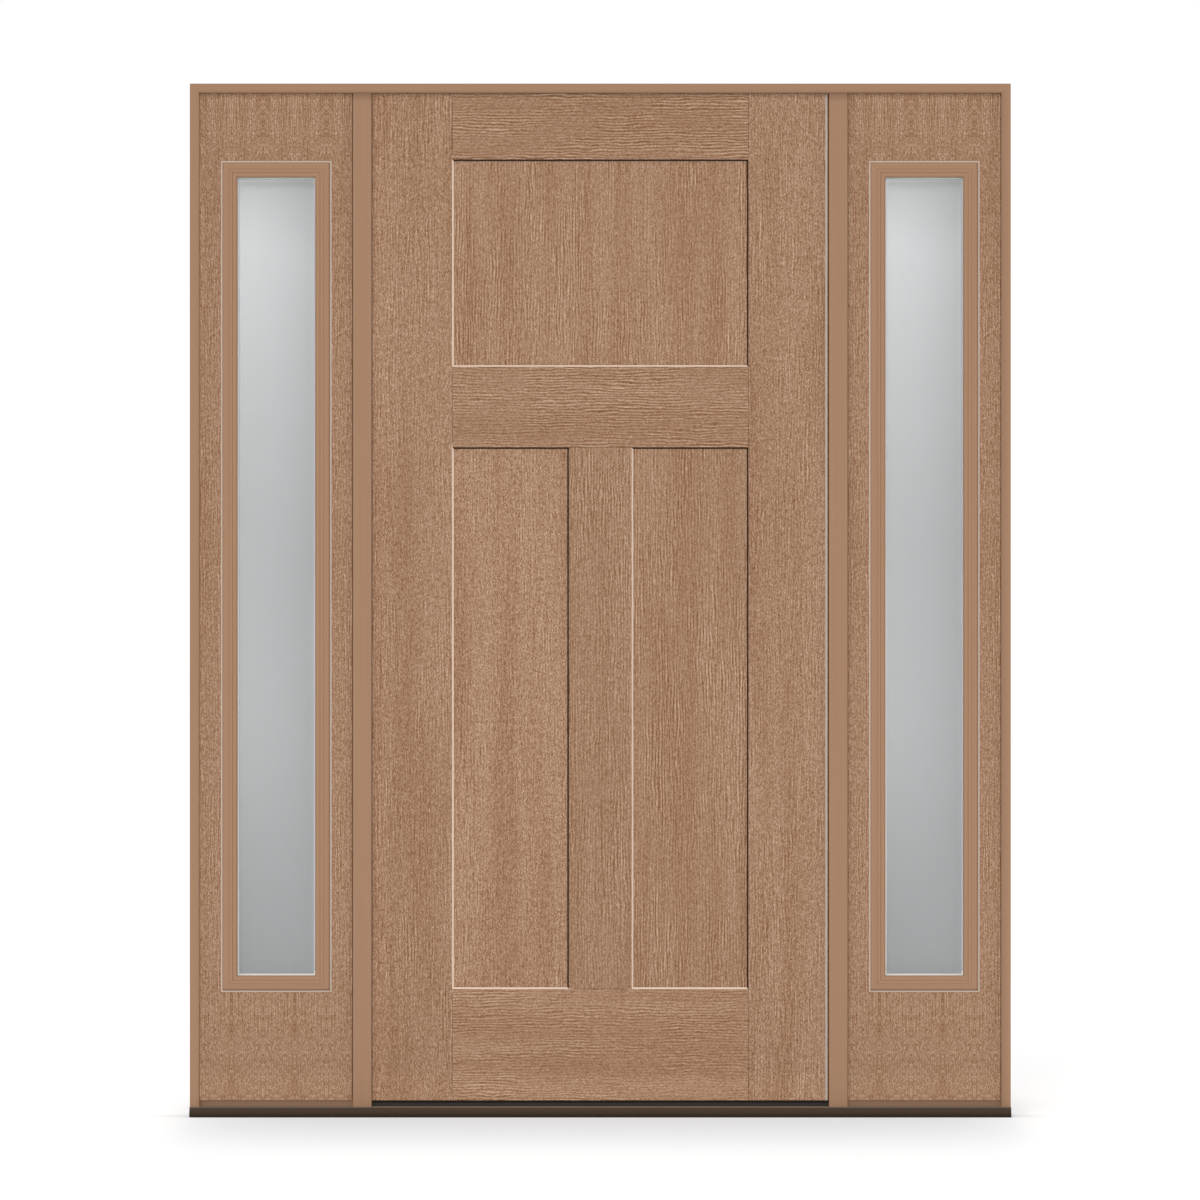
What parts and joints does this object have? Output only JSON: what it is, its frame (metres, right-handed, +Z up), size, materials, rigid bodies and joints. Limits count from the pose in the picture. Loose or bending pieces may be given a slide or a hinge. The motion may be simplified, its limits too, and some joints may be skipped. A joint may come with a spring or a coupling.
{
  "type": "door with sidelights",
  "caption": "Stained wood entrance door of stile and rail panels, hung inward on butt hinges between fixed glazed sidelights, in one frame on a bronze sill.",
  "frame": {"origin": "underside of the sill base, midway across the frame's width and midway through the jambs' depth", "axes": "+Z up, -Y toward the outside of the house (the side in the picture), +X to the right seen from outside"},
  "size_m": [1.644, 0.1115, 2.069],
  "materials": {
    "frame_paint": "smooth satin stain",
    "sill_core": "matte",
    "sill_bronze": "bronze anodised satin",
    "threshold_black": "matte",
    "strip_brown": "satin stain",
    "seal_rubber": "matte",
    "hinge_steel": "satin",
    "sidelight_wood": "satin stained grain",
    "lite_moulding": "satin",
    "glass": "clear",
    "spacer": "satin",
    "stile_wood": "satin stained grain",
    "rail_wood": "satin stained grain",
    "panel_wood": "satin stained grain",
    "edge_strip": "satin"
  },
  "bodies": {
    "frame": {"left_jamb": "frame_paint", "right_jamb": "frame_paint", "head_jamb": "frame_paint", "hinge_mullion": "frame_paint", "latch_mullion": "frame_paint", "sill_base": "sill_core", "sill_tread": "sill_bronze", "threshold_bar": "threshold_black", "left_sidelight_sill_strip": "strip_brown", "right_sidelight_sill_strip": "strip_brown", "hinge_weatherstrip": "seal_rubber", "latch_weatherstrip": "seal_rubber", "head_weatherstrip": "seal_rubber", "upper_hinge_frame_leaf": "hinge_steel", "upper_hinge_pin": "hinge_steel", "middle_hinge_frame_leaf": "hinge_steel", "middle_hinge_pin": "hinge_steel", "lower_hinge_frame_leaf": "hinge_steel", "lower_hinge_pin": "hinge_steel", "left_sidelight_slab": "sidelight_wood", "right_sidelight_slab": "sidelight_wood", "left_lite_frame_outside": "lite_moulding", "left_lite_frame_inside": "lite_moulding", "right_lite_frame_outside": "lite_moulding", "right_lite_frame_inside": "lite_moulding", "left_outer_glass": "glass", "left_inner_glass": "glass", "right_outer_glass": "glass", "right_inner_glass": "glass", "left_glass_spacer": "spacer", "right_glass_spacer": "spacer"},
    "leaf": {"hinge_stile": "stile_wood", "latch_stile": "stile_wood", "center_stile": "stile_wood", "top_rail": "rail_wood", "middle_rail": "rail_wood", "bottom_rail": "rail_wood", "top_panel": "panel_wood", "left_panel": "panel_wood", "right_panel": "panel_wood", "door_bottom_seal": "seal_rubber", "latch_edge_strip": "edge_strip", "upper_hinge_door_leaf": "hinge_steel", "middle_hinge_door_leaf": "hinge_steel", "lower_hinge_door_leaf": "hinge_steel"}
  },
  "joints": [
    {"name": "door_swing", "type": "hinge", "parent": "frame", "child": "leaf", "pos_m": [-0.4665, 0.041, 1.044], "axis": [0, 0, 1], "range_deg": [0, 110]}
  ]
}
